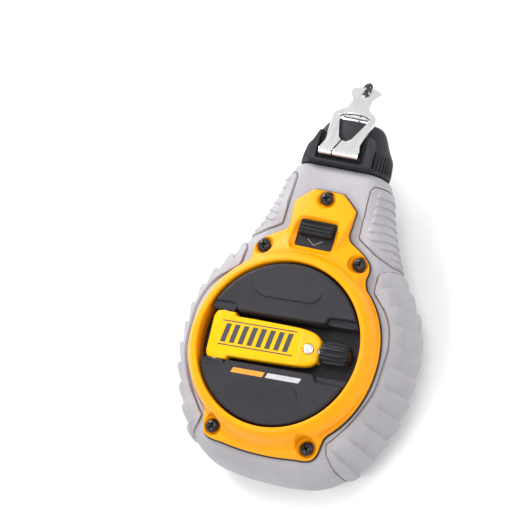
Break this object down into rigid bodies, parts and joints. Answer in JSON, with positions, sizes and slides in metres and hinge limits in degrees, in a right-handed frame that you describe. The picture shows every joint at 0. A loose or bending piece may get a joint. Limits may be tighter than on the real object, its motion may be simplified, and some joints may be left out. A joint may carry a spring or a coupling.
{
  "type": "chalk line",
  "caption": "Hand-held chalk line reel with a fold-out crank, geared spool, pull-off filling nose, crank lock and a stamped hook on its line.",
  "frame": {"origin": "on the crank's axis, in the plane of the flat back that the reel lies on", "axes": "+Z out of the front through the crank, +Y toward the nose and the hook, +X to the right seen from the front"},
  "size_m": [0.091, 0.1633, 0.046],
  "materials": {
    "housing_grey": "fine sand-textured light grey",
    "frame_amber": "satin yellow-orange moulding",
    "arm_yellow": "semi-gloss yellow",
    "disc_charcoal": "matt charcoal with a fine grain",
    "cap_grey": "matt dark grey, fine ribs",
    "black_plastic": "satin black moulding",
    "black_screws": "black oxide steel",
    "rubber": "matt black rubber",
    "steel": "zinc-plated steel",
    "bright_steel": "polished stamped steel",
    "brass": "turned brass",
    "nylon": "natural white nylon",
    "felt": "pressed grey felt",
    "braided_line": "braided black and white cotton line"
  },
  "bodies": {
    "reel": {"housing": "housing_grey", "front_frame": "frame_amber", "cover_gasket": "rubber", "cover_screw_1": "black_screws", "cover_screw_2": "black_screws", "cover_screw_3": "black_screws", "cover_screw_4": "black_screws", "cover_screw_5": "black_screws", "gear_plate": "nylon", "gear_plate_screw_1": "steel", "gear_plate_screw_2": "steel", "gear_plate_screw_3": "steel", "planet_pin_1": "steel", "planet_pin_2": "steel", "planet_pin_3": "steel", "dust_seal": "felt", "main_axle": "steel", "crank_screw": "steel", "crank_washer": "steel", "line_run": "braided_line", "lock_spring": "steel"},
    "crank": {"crank_disc": "disc_charcoal", "ring_gear": "nylon", "arm_hinge_pin": "steel"},
    "arm": {"crank_arm": "arm_yellow", "arm_rivet": "steel", "knob_spindle": "steel"},
    "knob": {"crank_knob": "black_plastic"},
    "spool": {"spool": "nylon", "spool_bush": "brass", "sun_gear": "steel", "line_winding": "braided_line"},
    "planet_1": {"planet_gear_1": "nylon"},
    "planet_2": {"planet_gear_2": "nylon"},
    "planet_3": {"planet_gear_3": "nylon"},
    "lock": {"lock_button": "black_plastic"},
    "cap": {"nose_cap": "cap_grey", "cap_seal": "rubber", "line_eyelet": "steel", "felt_wiper": "felt"},
    "line_end": {"line_lead": "braided_line"},
    "hook": {"line_hook": "bright_steel", "line_knot": "braided_line"}
  },
  "joints": [
    {"name": "crank_turn", "type": "hinge", "parent": "reel", "child": "crank", "pos_m": [0, 0, 0.036], "axis": [0, 0, 1], "continuous": true},
    {"name": "spool_turn", "type": "hinge", "parent": "reel", "child": "spool", "pos_m": [0, 0, 0.016], "axis": [0, 0, 1], "continuous": true},
    {"name": "planet_1_turn", "type": "hinge", "parent": "reel", "child": "planet_1", "pos_m": [0.0144, 0, 0.0314], "axis": [0, 0, 1], "continuous": true},
    {"name": "planet_2_turn", "type": "hinge", "parent": "reel", "child": "planet_2", "pos_m": [-0.0072, 0.01247, 0.0314], "axis": [0, 0, 1], "continuous": true},
    {"name": "planet_3_turn", "type": "hinge", "parent": "reel", "child": "planet_3", "pos_m": [-0.0072, -0.01247, 0.0314], "axis": [0, 0, 1], "continuous": true},
    {"name": "arm_fold", "type": "hinge", "parent": "crank", "child": "arm", "pos_m": [-0.02447, -0.00128, 0.0428], "axis": [0.0523, -0.9986, 0], "range_deg": [0, 90]},
    {"name": "knob_spin", "type": "hinge", "parent": "arm", "child": "knob", "pos_m": [0.01698, 0.00089, 0.0413], "axis": [0.9986, 0.0523, 0], "continuous": true},
    {"name": "lock_slide", "type": "slide", "parent": "reel", "child": "lock", "axis": [0, -1, 0], "range_m": [0, 0.004]},
    {"name": "cap_pull", "type": "slide", "parent": "reel", "child": "cap", "axis": [0, 1, 0], "range_m": [0, 0.012]},
    {"name": "line_pull", "type": "slide", "parent": "cap", "child": "line_end", "axis": [0, 1, 0], "range_m": [0, 0.015]},
    {"name": "hook_swing", "type": "hinge", "parent": "line_end", "child": "hook", "pos_m": [0, 0.1083, 0.027], "axis": [-1, 0, 0], "range_deg": [0, 90]}
  ],
  "couplings": [
    {"joint": "spool_turn", "follows": "crank_turn", "ratio": -3},
    {"joint": "planet_1_turn", "follows": "crank_turn", "ratio": 3},
    {"joint": "planet_2_turn", "follows": "crank_turn", "ratio": 3},
    {"joint": "planet_3_turn", "follows": "crank_turn", "ratio": 3}
  ]
}
